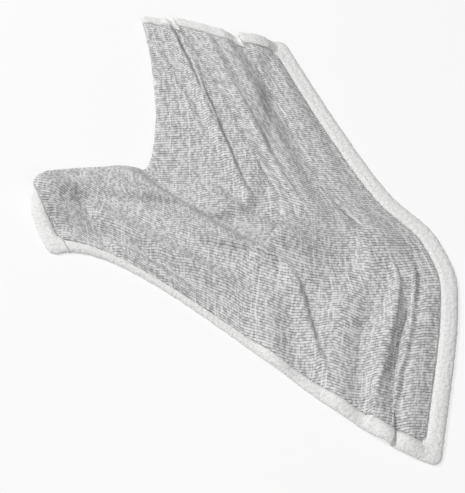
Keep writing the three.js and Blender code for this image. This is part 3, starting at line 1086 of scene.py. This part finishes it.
@dataclass
class Throw:
    """The whole blanket.

    Lengths are in mm. Each pitch is the space between rows, and a hidden side keeps one row in
    its skip, so it cuts straight across narrow folds. It is drawn in by a little over a
    millimetre, which keeps it behind the side that shows but for a few spots at the hem's tuck
    and the right seam.
    """

    shift: np.ndarray
    relief: Relief = field(default_factory=Relief)
    border_count: int = 18
    border_pitch: float = 2.9
    curl: float = 10.0
    curl_height: float = 2.6
    curl_level: float = 0.55
    fluff: float = 4.2
    fluff_height: float = 0.35
    under_curl: float = 13.0
    rim: float = 4.0
    rim_low: float = 0.8
    rim_rise: float = 0.2
    face_pitch: float = 6.2
    under_pitch: float = 8.0
    face_skip: int = 3
    under_skip: int = 2
    drawn_in: float = 1.2

    def rows_between(self, start: float, stop: float, pitch: float, multiple: int) -> np.ndarray:
        """Space rows evenly along the cloth.

        Args:
            start: First distance from the hem in mm.
            stop: Last one.
            pitch: About how far apart they lie.
            multiple: The number of gaps is a multiple of this.

        Returns:
            Distances from the hem.
        """
        count = max(1, round((stop - start) / pitch / multiple)) * multiple
        return np.linspace(start, stop, count + 1)

    def face_panel(self, material: bpy.types.Material) -> bpy.types.Object:
        """Build the woven face inside the border.

        Args:
            material: Its finish.

        Returns:
            The piece.
        """
        rows = self.rows_between(BORDER, LENGTH - BORDER, self.face_pitch, self.face_skip)
        fineness = Fineness(
            border=(0.0, BORDER), edge=70, turn=9, depth=6, between=48, inside=80, tuck=14
        )
        grid = ClothGrid(rows, fineness, self.shift)
        inside = slice(1, -1)
        relief = self.relief.at(grid.across, grid.rows[:, None], grid.inset)
        rim = self.rim_low + self.rim_rise * BorderProfile.rounded((grid.inset - BORDER) / self.rim)
        top = grid.points(relief + FACE_UNDER + (FACE_TOP - FACE_UNDER) * rim)
        under = grid.points(relief + FACE_UNDER - self.drawn_in)
        cloth = grid.place
        skin = Closing.sheet(
            top[:, inside], under[:, inside], cloth[:, inside], self.face_skip, fine_up=True
        )
        skin.lifted()
        return skin.build("woven_face", material)

    def underside(self, material: bpy.types.Material) -> bpy.types.Object:
        """Build the sherpa pile under the face, inside the border.

        Args:
            material: Its finish.

        Returns:
            The piece.
        """
        lap = 3.0
        first, last = BORDER - lap, LENGTH - BORDER + lap
        rows = self.rows_between(first, last, self.under_pitch, self.under_skip)
        fineness = Fineness(
            border=(0.0, BORDER - lap, BORDER),
            edge=30, turn=9, depth=7, between=40, inside=60, tuck=34,
        )
        grid = ClothGrid(rows, fineness, self.shift)
        inside = slice(1, -1)
        relief = self.relief.at(grid.across, grid.rows[:, None], grid.inset)
        across, along = grid.place[..., 0], grid.place[..., 1]
        curls = CurlNoise(Seed.UNDER_CURLS.value).at(across / self.under_curl, along / self.under_curl)
        pile = UNDERSIDE - self.curl_height * (curls - 0.5)
        under = grid.points(relief + pile)
        top = grid.points(relief + PILE_TOP - self.drawn_in)
        cloth = grid.place
        skin = Closing.sheet(
            under[:, inside], top[:, inside], cloth[:, inside], self.under_skip, fine_up=False
        )
        skin.lifted()
        return skin.build("sherpa_underside", material)

    def border(self, material: bpy.types.Material) -> bpy.types.Object:
        """Build the sherpa border, which is the backing turned over the cloth's edge.

        Args:
            material: Its finish.

        Returns:
            The piece.
        """
        steps = border_steps(self.border_count)
        body = self.rows_between(BORDER, LENGTH - BORDER, self.border_pitch, 1)
        rows = np.concatenate([steps[:-1], body, LENGTH - np.array(steps[-2::-1])])
        fineness = Fineness(
            border=steps, edge=80, turn=10, depth=12, between=96, inside=170, tuck=90
        )
        grid = ClothGrid(rows, fineness, self.shift)
        line, column = np.indices(grid.across.shape)
        nearest = np.minimum(
            np.minimum(line, line[-1, 0] - line), np.minimum(column, column[0, -1] - column)
        )
        inset = np.interp(nearest, np.arange(len(steps)), steps)
        relief = self.relief.at(grid.across, grid.rows[:, None], inset)
        top = grid.points(relief + BorderProfile.top(inset, grid.rows[:, None], grid.up))
        bottom = grid.points(relief + BorderProfile.bottom(inset))
        cells = (nearest[:-1, :-1] < self.border_count) & (nearest[1:, 1:] < self.border_count)
        cells |= (nearest[:-1, 1:] < self.border_count) & (nearest[1:, :-1] < self.border_count)
        cloth = grid.place
        mirrored = self.turned_over(cloth, grid)
        skin = Closing.ring(top, bottom, cells, nearest == 0, cloth, mirrored)
        curls = CurlNoise(Seed.BORDER_CURLS.value)
        lumps = curls.at(skin.cloth[:, 0] / self.curl, skin.cloth[:, 1] / self.curl)
        place = skin.cloth / self.fluff
        finer = LatticeNoise(Seed.FLUFF.value).at(place[:, 0], place[:, 1])
        height = self.curl_height * (lumps - self.curl_level) + self.fluff_height * finer
        skin.points = skin.points + skin.normals() * height[:, None]
        skin.lifted()
        return skin.build("sherpa_border", material)

    def turned_over(self, cloth: np.ndarray, grid: ClothGrid) -> np.ndarray:
        """Carry the place on the cloth over its nearest edge, so that the pile runs on under it.

        Args:
            cloth: Places of the upper surface.
            grid: The grid they belong to.

        Returns:
            Places of the lower surface.
        """
        across, along = cloth[..., 0], cloth[..., 1]
        width, low, high = across[:, -1:], along[:1], along[-1:]
        distances = np.stack(
            [
                across, width - across,
                np.broadcast_to(grid.rows[:, None], across.shape),
                np.broadcast_to(LENGTH - grid.rows[:, None], across.shape),
            ]
        )
        nearest = distances.argmin(0)
        over = np.choose(nearest, [-across, 2 * width - across, across, across])
        up = np.choose(nearest, [along, along, 2 * low - along, 2 * high - along])
        return np.stack([over, up], -1)


class Srgb:
    """Constants of the sRGB curve."""

    full = 255
    knee, slope = 0.04045, 12.92
    offset, scale, power = 0.055, 1.055, 2.4


def linear(code: str) -> tuple[float, float, float, float]:
    """Turn an sRGB hex colour into linear light.

    Args:
        code: Six hex digits after a hash.

    Returns:
        Red, green, blue and 1.
    """
    parts = [int(code[k:k + 2], 16) / Srgb.full for k in (1, 3, 5)]
    light = [
        p / Srgb.slope if p <= Srgb.knee else ((p + Srgb.offset) / Srgb.scale) ** Srgb.power
        for p in parts
    ]
    return (light[0], light[1], light[2], 1.0)


def node(
    tree: bpy.types.NodeTree, kind: str, inputs: dict | tuple = (), **settings: object
) -> bpy.types.Node:
    """Add a node with its settings and links.

    Args:
        tree: The material's node tree.
        kind: Name of the node's type, without its ShaderNode prefix.
        inputs: What each input gets, by name or in order: a node, a socket or its own value.
        settings: Properties of the node.

    Returns:
        The node.
    """
    made = tree.nodes.new(f"ShaderNode{kind}")
    for name, value in settings.items():
        setattr(made, name, value)
    for name, source in inputs.items() if isinstance(inputs, dict) else enumerate(inputs):
        if isinstance(source, bpy.types.Node):
            source = source.outputs[0]
        if isinstance(source, bpy.types.NodeSocket):
            tree.links.new(source, made.inputs[name])
        else:
            made.inputs[name].default_value = source
    return made


@dataclass(frozen=True)
class HeatheredWeave:
    """Woven cotton and acrylic with slub yarn.

    Wefts of uneven, mixed grey yarn lie in rows across the cloth and show as short light and dark
    dashes. Paler warp yarns run up the cloth between them, and the grooves between the wefts are
    darkened with painted shade in short dashes.
    """

    pale: str = "#e8e8e8"
    middle: str = "#bcbcbc"
    dark: str = "#5c5c5d"
    weft_pitch: float = 8.4  # mm; real wefts lie about 3 mm apart, drawn coarser so that they show
    dash: float = 11.0  # mm, about half a slub's length
    gap_dash: float = 0.6  # length of the dark dashes between wefts, as a share of a dash
    warp_pitch: float = 24.0  # mm between the paler warp yarns
    relief: float = 1.0  # mm
    sway: float = 4.0  # mm by which the yarns wander
    base_tone: float = 0.4
    yarn_share: float = 0.4
    speck_share: float = 0.18
    cloud_share: float = 0.06
    line_share: float = 0.32
    groove_shade_share: float = -0.62  # painted shade in the groove between two wefts
    middle_at: float = 0.48
    sway_length: float = 70.0  # mm
    speck: float = 4.0  # mm
    cloud: tuple[float, float] = (14.0, 140.0)  # mm across and along
    break_length: tuple[float, float] = (40.0, 60.0)  # mm across and along, where warp yarns fade
    weft_step: float = 7.31  # how far the dashes of one weft differ from the next one's
    gap_step: float = 3.17  # the same for the dark dashes between them
    levels: tuple[float, float] = (0.3, 0.7)  # where a fleck starts and where it is full
    gap_levels: tuple[float, float] = (0.3, 0.6)
    gap_tones: tuple[float, float] = (0.4, 1.0)
    groove_shade: tuple[float, float] = (0.75, 0.1)  # heights of a weft between which painted shade darkens its groove
    crown: tuple[float, float] = (0.5, 1.0)  # heights of a thin and a thick stretch of weft
    line_width: tuple[float, float] = (0.12, 0.05)  # half widths, soft and full, as shares of the pitch
    line_spacing: float = 0.85  # unevenness of the warp yarns
    break_levels: tuple[float, float] = (0.4, 0.6)
    fineness: float = 0.6  # strength of each finer layer of a fleck
    bump: float = 0.6
    roughness: float = 0.93
    sheen: float = 0.1
    sheen_roughness: float = 0.6

    def build(self) -> bpy.types.Material:
        """Make the material.

        Returns:
            The material.
        """
        material = bpy.data.materials.new("heathered_woven_face")
        material.use_nodes = True
        tree = material.node_tree
        place = self.swayed(tree)
        across, along = node(tree, "SeparateXYZ", (place,)).outputs[:2]
        row = node(tree, "Math", (along, self.weft_pitch), operation="DIVIDE")
        row_number = node(tree, "Math", (row,), operation="FLOOR")
        row_share = node(tree, "Math", (row,), operation="FRACT")
        turn = node(tree, "Math", (row_share, math.pi), operation="MULTIPLY")
        rounded = node(tree, "Math", (turn,), operation="SINE")
        weft, dashes = (
            self.flecks(tree, self.along_rows(tree, across, row_number, step), (length, 1.0))
            for step, length in (
                (self.weft_step, self.dash), (self.gap_step, self.gap_dash * self.dash)
            )
        )
        # Painted shade in the grooves between wefts, darkest low on the weft's rounded profile, broken
        # into dashes
        groove_shade = node(tree, "MapRange", (rounded, *self.groove_shade, 0, 1), **EASED)
        dark = node(tree, "MapRange", (dashes, *self.gap_levels, *self.gap_tones), **EASED)
        flecks = (
            (weft, self.yarn_share),
            (self.flecks(tree, place, (self.speck, self.speck)), self.speck_share),
            (self.flecks(tree, place, self.cloud, 1.0), self.cloud_share),
        )
        parts = (
            *((node(tree, "MapRange", (fleck, *self.levels, 0, 1), **EASED), share)
              for fleck, share in flecks),
            (self.lines(tree, place, across), self.line_share),
            # the painted shade in the grooves between wefts
            (node(tree, "Math", (groove_shade, dark), operation="MULTIPLY"), self.groove_shade_share),
        )
        tone: object = self.base_tone
        for part, share in parts:
            shade = node(tree, "Math", (part, share), operation="MULTIPLY")
            tone = node(tree, "Math", (tone, shade), operation="ADD")
        thick = node(tree, "MapRange", (weft, *self.levels, *self.crown), **EASED)
        height = node(tree, "Math", (rounded, thick), operation="MULTIPLY")
        ramp = node(tree, "ValToRGB", (tone,))
        ramp.color_ramp.elements[0].color = linear(self.dark)
        ramp.color_ramp.elements[1].color = linear(self.pale)
        ramp.color_ramp.elements.new(self.middle_at).color = linear(self.middle)
        dress(tree, ramp, height, self)
        return material

    def swayed(self, tree: bpy.types.NodeTree) -> bpy.types.Node:
        """Find the place on the cloth in mm, with the yarns wandering a little.

        Args:
            tree: The material's node tree.

        Returns:
            The place, across and along.
        """
        place = node(tree, "UVMap", uv_map=CLOTH_MAP)
        wander = self.flecks(tree, place, (self.sway_length, self.sway_length), 1.0)
        centred = node(tree, "Math", (wander, 0.5), operation="SUBTRACT")
        sway = node(tree, "Math", (centred, self.sway), operation="MULTIPLY")
        return node(tree, "VectorMath", (place, sway), operation="ADD")

    def along_rows(
        self, tree: bpy.types.NodeTree, across: bpy.types.NodeSocket, row: bpy.types.Node,
        step: float,
    ) -> bpy.types.Node:
        """Find a place that jumps from one weft to the next, so that each has its own dashes.

        Args:
            tree: The material's node tree.
            across: Place across in mm.
            row: Number of the weft.
            step: How far it jumps.

        Returns:
            The place.
        """
        jump = node(tree, "Math", (row, step), operation="MULTIPLY")
        return node(tree, "CombineXYZ", (across, jump))

    def flecks(
        self, tree: bpy.types.NodeTree, place: bpy.types.Node, size: tuple[float, float],
        detail: float = 0.0,
    ) -> bpy.types.Node:
        """Scatter soft flecks over the cloth.

        Args:
            tree: The material's node tree.
            place: Place on the cloth in mm.
            size: About how far apart they lie across and along, in mm.
            detail: Number of finer layers.

        Returns:
            Value from 0 to 1.
        """
        at = node(tree, "VectorMath", (place, (*size, 1.0)), operation="DIVIDE")
        inputs = {"Vector": at, "Scale": 1.0, "Detail": detail, "Roughness": self.fineness}
        return node(tree, "TexNoise", inputs, noise_dimensions="2D")

    def lines(
        self, tree: bpy.types.NodeTree, place: bpy.types.Node, across: bpy.types.NodeSocket
    ) -> bpy.types.Node:
        """Draw the paler warp yarns, unevenly spaced and broken.

        Args:
            tree: The material's node tree.
            place: Place on the cloth in mm.
            across: The part of it that goes across.

        Returns:
            1 on a pale yarn and 0 beside it.
        """
        yarn = node(tree, "Math", (across, self.warp_pitch), operation="DIVIDE")
        cells = node(
            tree, "TexVoronoi", {"W": yarn, "Scale": 1.0, "Randomness": self.line_spacing},
            voronoi_dimensions="1D",
        )
        line = node(tree, "MapRange", (cells, *self.line_width, 0, 1), **EASED)
        broken = self.flecks(tree, place, self.break_length, 2.0)
        shown = node(tree, "MapRange", (broken, *self.break_levels, 0, 1), **EASED)
        return node(tree, "Math", (line, shown), operation="MULTIPLY")


@dataclass(frozen=True)
class SherpaPile:
    """Knitted polyester sherpa, brushed and tumbled into small curls.

    Each curl is painted paler on top, where it catches the light, and darker where it meets the
    next, as painted shade.
    """

    tip: str = "#f6f6f5"
    # colour of the painted shade in the creases between curls
    root: str = "#e4e4e3"
    curl: float = 6.5  # mm across a small curl, drawn coarser than the real 4 mm
    relief: float = 1.3  # mm
    softness: float = 0.6  # how far one curl runs into the next
    fibre: float = 1.6  # wisps of fibre across one curl
    fibre_layers: float = 4.0
    fibre_twist: float = 1.2
    fibre_share: float = 0.6
    shade: tuple[float, float] = (-0.45, 0.25)  # heights of the darkest and the palest pile
    bump: float = 0.6
    roughness: float = 0.95
    sheen: float = 0.25
    sheen_roughness: float = 0.5

    def build(self) -> bpy.types.Material:
        """Make the material.

        Returns:
            The material.
        """
        material = bpy.data.materials.new("white_sherpa_pile")
        material.use_nodes = True
        tree = material.node_tree
        place = node(tree, "UVMap", uv_map=CLOTH_MAP)
        at = node(tree, "VectorMath", (place, (self.curl, self.curl, 1.0)), operation="DIVIDE")
        curls = node(
            tree, "TexVoronoi", {"Vector": at, "Scale": 1.0, "Smoothness": self.softness},
            voronoi_dimensions="2D", feature="SMOOTH_F1",
        )
        wisps = {"Scale": self.fibre, "Detail": self.fibre_layers, "Distortion": self.fibre_twist}
        fibre = node(tree, "TexNoise", {"Vector": at, **wisps}, noise_dimensions="2D")
        raised = node(tree, "Math", (fibre, self.fibre_share), operation="MULTIPLY")
        height = node(tree, "Math", (raised, curls), operation="SUBTRACT")
        # Painted light from the curls' relief: paler tops and painted shade in the creases
        tone = node(tree, "MapRange", (height, *self.shade, 0, 1), **EASED)
        ramp = node(tree, "ValToRGB", (tone,))
        ramp.color_ramp.elements[0].color = linear(self.root)
        ramp.color_ramp.elements[1].color = linear(self.tip)
        dress(tree, ramp, height, self)
        return material


def dress(
    tree: bpy.types.NodeTree, colour: bpy.types.Node, height: bpy.types.Node,
    cloth: HeatheredWeave | SherpaPile,
) -> None:
    """Give a cloth its colour, its relief and the soft sheen of its loose fibres.

    Args:
        tree: The material's node tree.
        colour: Its colour.
        height: Its relief, as a share of the finish's relief in mm.
        cloth: The finish, with its bump, relief, roughness and sheen.
    """
    shader = tree.nodes["Principled BSDF"]
    bump = node(
        tree, "Bump", {"Height": height, "Strength": cloth.bump, "Distance": cloth.relief * MM}
    )
    tree.links.new(colour.outputs[0], shader.inputs["Base Color"])
    tree.links.new(bump.outputs[0], shader.inputs["Normal"])
    shader.inputs["Roughness"].default_value = cloth.roughness
    shader.inputs["Sheen Weight"].default_value = cloth.sheen
    shader.inputs["Sheen Roughness"].default_value = cloth.sheen_roughness


@dataclass(frozen=True)
class StudioFloor:
    """A plain matt floor, almost white to the camera and still taking a shadow."""

    paint: str = "#f6f6f6"
    glow: float = 0.68
    roughness: float = 0.9
    gloss: float = 0.2

    def build(self) -> bpy.types.Material:
        """Make the material.

        Returns:
            The material.
        """
        material = bpy.data.materials.new("matt_white_floor")
        material.use_nodes = True
        tree = material.node_tree
        shader = tree.nodes["Principled BSDF"]
        shader.inputs["Base Color"].default_value = linear(self.paint)
        shader.inputs["Roughness"].default_value = self.roughness
        shader.inputs["Specular IOR Level"].default_value = self.gloss
        glow = node(tree, "Emission", {"Color": (1, 1, 1, 1), "Strength": 1.0})
        seen = node(tree, "LightPath").outputs["Is Camera Ray"]
        share = node(tree, "Math", (seen, self.glow), operation="MULTIPLY")
        mix = node(tree, "MixShader", (share, shader, glow))
        tree.links.new(mix.outputs[0], tree.nodes["Material Output"].inputs["Surface"])
        return material


@dataclass(frozen=True)
class Lamp:
    """A square soft lamp that shines at the middle of the floor. Metres and watts."""

    name: str
    place: tuple[float, float, float]
    size: float
    power: float

    def build(self) -> None:
        """Hang the lamp."""
        light = bpy.data.lights.new(self.name, "AREA")
        light.size = self.size
        light.energy = self.power
        lamp = bpy.data.objects.new(self.name, light)
        lamp.location = self.place
        lamp.rotation_euler = (-Vector(self.place)).to_track_quat("-Z", "Y").to_euler()
        bpy.context.scene.collection.objects.link(lamp)


@dataclass(frozen=True)
class Studio:
    """Floor, soft lamps and camera. The camera aims a little to the hem's side of the middle."""

    elevation: float = 62.0
    distance: float = 4.2
    lens: float = 115.0
    sensor: float = 36.0
    aim: tuple[float, float, float] = (-0.027, -0.095, 0.0)
    room_light: float = 0.22
    floor_size: float = 60.0
    lamps: tuple[Lamp, ...] = (
        Lamp("key", (-6.9, 3.4, 7.9), 3.3, 960),
        Lamp("fill", (2.4, -3.6, 4.6), 2.8, 75),
    )

    def build(self, low: Vector, high: Vector) -> None:
        """Set the studio up around the throw.

        Args:
            low: Lowest corner of its box.
            high: Highest corner.
        """
        self.floor()
        self.light()
        self.camera((low + high) / 2 + Vector(self.aim))

    def floor(self) -> None:
        """Lay the floor."""
        bpy.ops.mesh.primitive_plane_add(size=self.floor_size, location=(0, 0, 0))
        plane = bpy.context.object
        plane.name = "floor"
        plane.data.materials.append(StudioFloor().build())

    def light(self) -> None:
        """Hang a large key lamp at the upper left and a weak fill, in a pale room."""
        world = bpy.data.worlds.new("pale_room")
        bpy.context.scene.world = world
        world.use_nodes = True
        room = world.node_tree.nodes["Background"]
        room.inputs["Color"].default_value = (1, 1, 1, 1)
        room.inputs["Strength"].default_value = self.room_light
        for lamp in self.lamps:
            lamp.build()

    def camera(self, middle: Vector) -> None:
        """Aim the camera from the hem's side, well above the cloth.

        Args:
            middle: Point to aim at.
        """
        tilt = math.radians(self.elevation)
        data = bpy.data.cameras.new("camera")
        data.lens = self.lens
        data.sensor_fit = "HORIZONTAL"
        data.sensor_width = self.sensor
        camera = bpy.data.objects.new("camera", data)
        offset = Vector((0, -math.cos(tilt), math.sin(tilt))) * self.distance
        camera.location = middle + offset
        camera.rotation_euler = (-offset).to_track_quat("-Z", "Y").to_euler()
        bpy.context.scene.collection.objects.link(camera)
        bpy.context.scene.camera = camera


def corners(box: Iterable) -> list[list[float]]:
    """Return a box's corners as plain lists."""
    return [[float(x) for x in corner] for corner in box]


# Rows of the rough grid that finds where the outline lies
OUTLINE_ROWS = 60


def main() -> None:
    """Build the throw piece by piece, then the studio."""
    logging.basicConfig(level=logging.INFO, format="%(name)s: %(message)s")
    bpy.context.scene.view_settings.view_transform = "Standard"
    low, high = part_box("sherpa_backing")
    rough = Fineness(
        border=(0.0, BORDER), edge=8, turn=4, depth=2, between=2, inside=6, tuck=3
    )
    outline = ClothGrid(np.linspace(0, LENGTH, OUTLINE_ROWS), rough, np.zeros(2)).points(0.0)
    shift = np.array([low.x, low.y]) / MM - outline[..., :2].reshape(-1, 2).min(0)
    throw = Throw(shift)
    pile = SherpaPile().build()
    face = throw.face_panel(HeatheredWeave().build())
    border = throw.border(pile)
    underside = throw.underside(pile)
    for piece in (face, border, underside):
        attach(piece, "root")
        LOG.info("%s: %d faces", piece.name, len(piece.data.polygons))
    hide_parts("face_panel")
    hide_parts("sherpa_backing")
    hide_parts("sherpa_backing")
    Studio().build(low, high)


if __name__ == "__main__":
    main()
